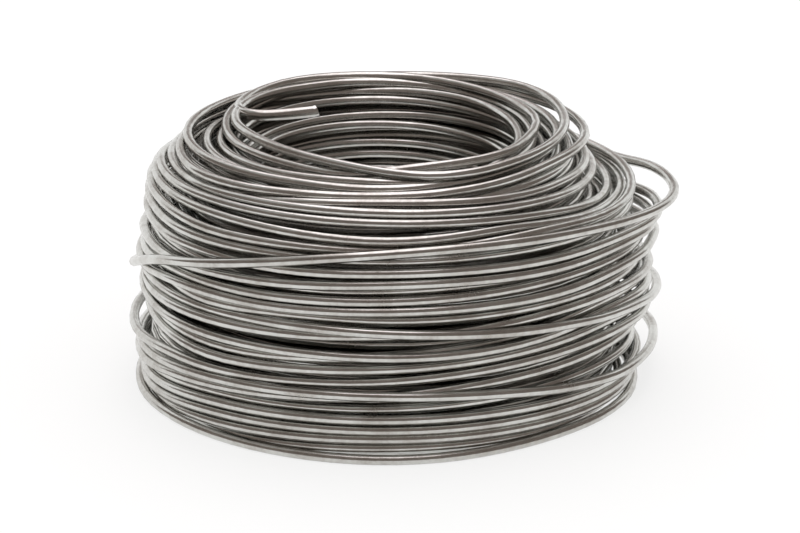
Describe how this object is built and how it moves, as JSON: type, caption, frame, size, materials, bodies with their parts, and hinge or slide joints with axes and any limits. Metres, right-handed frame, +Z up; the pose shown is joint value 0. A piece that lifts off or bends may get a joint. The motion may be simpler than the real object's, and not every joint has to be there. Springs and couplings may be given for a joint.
{
  "type": "coil of binding wire",
  "caption": "Coil of bright steel binding wire, wound loosely round an open bore and lying on its end, with one free end folded over the top.",
  "frame": {"origin": "centre of the bore, at the level that the coil rests on", "axes": "+Z up along the axis of the bore, front of the picture towards -Y, +X to the right in it"},
  "size_m": [0.0962, 0.0946, 0.0457],
  "materials": {
    "wire": "bright drawn steel wire, satin, lightly handled"
  },
  "bodies": {
    "root": {"wound_turns": "wire", "loose_turn_upper": "wire", "loose_turn_middle": "wire", "loose_turn_lower": "wire", "loose_turn_floor": "wire", "free_end": "wire"}
  },
  "joints": []
}
